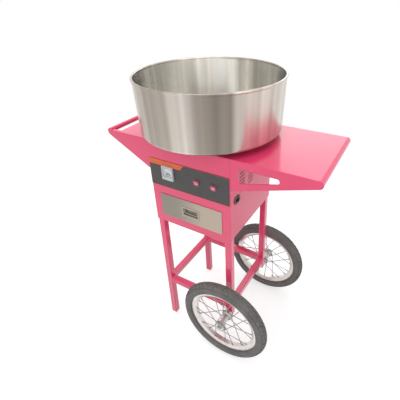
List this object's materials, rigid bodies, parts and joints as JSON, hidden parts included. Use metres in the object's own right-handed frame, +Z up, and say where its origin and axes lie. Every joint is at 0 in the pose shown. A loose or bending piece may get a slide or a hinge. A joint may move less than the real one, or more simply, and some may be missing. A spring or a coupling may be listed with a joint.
{
  "type": "cotton candy cart",
  "caption": "Mobile cotton candy cart: pink sheet metal body with shelf and grip wings on a tube frame with legs and spoked wheels, a lift-off steel bowl round a spinner head, and a drawer.",
  "frame": {"origin": "on the floor under the middle of the bounding box", "axes": "+X along the cart towards the shelf and wheels, +Y from the control panel to the back, +Z up"},
  "size_m": [0.78, 0.4998, 1.068],
  "materials": {
    "pink_paint": "gloss",
    "stainless": "brushed",
    "bright_steel": "polished",
    "zinc": "satin",
    "cast_alloy": "satin",
    "panel_grey": "satin",
    "meter_plastic": "satin",
    "window": "clear",
    "black_plastic": "satin",
    "red_plastic": "gloss",
    "phenolic": "satin",
    "carbon": "matte",
    "copper_alloy": "satin",
    "motor_paint": "satin",
    "seat_rubber": "matte",
    "tyre_rubber": "matte"
  },
  "bodies": {
    "cart": {"leg_front_left": "pink_paint", "leg_rear_left": "pink_paint", "post_front_right": "pink_paint", "post_rear_right": "pink_paint", "lower_rail_front": "pink_paint", "lower_rail_rear": "pink_paint", "lower_rail_left": "pink_paint", "lower_rail_right": "pink_paint", "upper_rail_front": "pink_paint", "upper_rail_rear": "pink_paint", "leg_feet": "pink_paint", "front_panel": "pink_paint", "left_side_panel": "pink_paint", "right_side_panel": "pink_paint", "rear_panel": "pink_paint", "floor_panel": "pink_paint", "deck_plate": "pink_paint", "left_wing": "pink_paint", "right_wing": "pink_paint", "push_handle": "pink_paint", "drawer_runners": "stainless", "motor_bracket": "zinc", "bolts": "zinc", "panel_screws": "zinc", "stub_axles": "zinc", "axle_nuts": "zinc", "control_panel": "panel_grey", "meter_case": "meter_plastic", "meter_window": "window", "switch_housings": "black_plastic", "power_inlet": "black_plastic", "motor": "motor_paint", "brush_holder": "phenolic", "brushes": "carbon", "bowl_seat": "seat_rubber"},
    "front_wheel": {"front_tyre": "tyre_rubber", "front_rim": "bright_steel", "front_spokes": "bright_steel", "front_hub": "cast_alloy", "front_bearings": "zinc"},
    "rear_wheel": {"rear_tyre": "tyre_rubber", "rear_rim": "bright_steel", "rear_spokes": "bright_steel", "rear_hub": "cast_alloy", "rear_bearings": "zinc"},
    "spinner": {"drive_shaft": "zinc", "slip_rings": "copper_alloy", "spinner_pan": "cast_alloy", "heater": "copper_alloy", "spinner_screen": "cast_alloy", "spinner_cap": "cast_alloy"},
    "drawer": {"drawer_front": "stainless", "drawer_tray": "stainless", "pull_plate": "bright_steel"},
    "bail": {"pull_bail": "bright_steel"},
    "power_switch": {"power_rocker": "red_plastic"},
    "heat_switch": {"heat_rocker": "red_plastic"},
    "needle": {"meter_needle": "black_plastic"},
    "bowl": {"bowl": "stainless"}
  },
  "joints": [
    {"name": "front_wheel_spin", "type": "hinge", "parent": "cart", "child": "front_wheel", "pos_m": [0.0975, -0.197, 0.178], "axis": [0, 1, 0], "continuous": true},
    {"name": "rear_wheel_spin", "type": "hinge", "parent": "cart", "child": "rear_wheel", "pos_m": [0.0975, 0.197, 0.178], "axis": [0, 1, 0], "continuous": true},
    {"name": "spinner_spin", "type": "hinge", "parent": "cart", "child": "spinner", "pos_m": [-0.048, 0, 0.894], "axis": [0, 0, 1], "continuous": true},
    {"name": "drawer_slide", "type": "slide", "parent": "cart", "child": "drawer", "axis": [0, -1, 0], "range_m": [0, 0.2]},
    {"name": "bail_swing", "type": "hinge", "parent": "drawer", "child": "bail", "pos_m": [-0.048, -0.1578, 0.62], "axis": [-1, 0, 0], "range_deg": [0, 80]},
    {"name": "power_rock", "type": "hinge", "parent": "cart", "child": "power_switch", "pos_m": [-0.015, -0.1585, 0.7465], "axis": [-1, 0, 0], "range_deg": [0, 20]},
    {"name": "heat_rock", "type": "hinge", "parent": "cart", "child": "heat_switch", "pos_m": [0.0507, -0.1585, 0.7465], "axis": [-1, 0, 0], "range_deg": [0, 20]},
    {"name": "needle_swing", "type": "hinge", "parent": "cart", "child": "needle", "pos_m": [-0.1295, -0.162, 0.743], "axis": [0, 1, 0], "range_deg": [0, 90], "stiffness_Nm_per_rad": 0.0002},
    {"name": "bowl_lift", "type": "slide", "parent": "cart", "child": "bowl", "axis": [0, 0, 1], "range_m": [0, 0.25]}
  ]
}
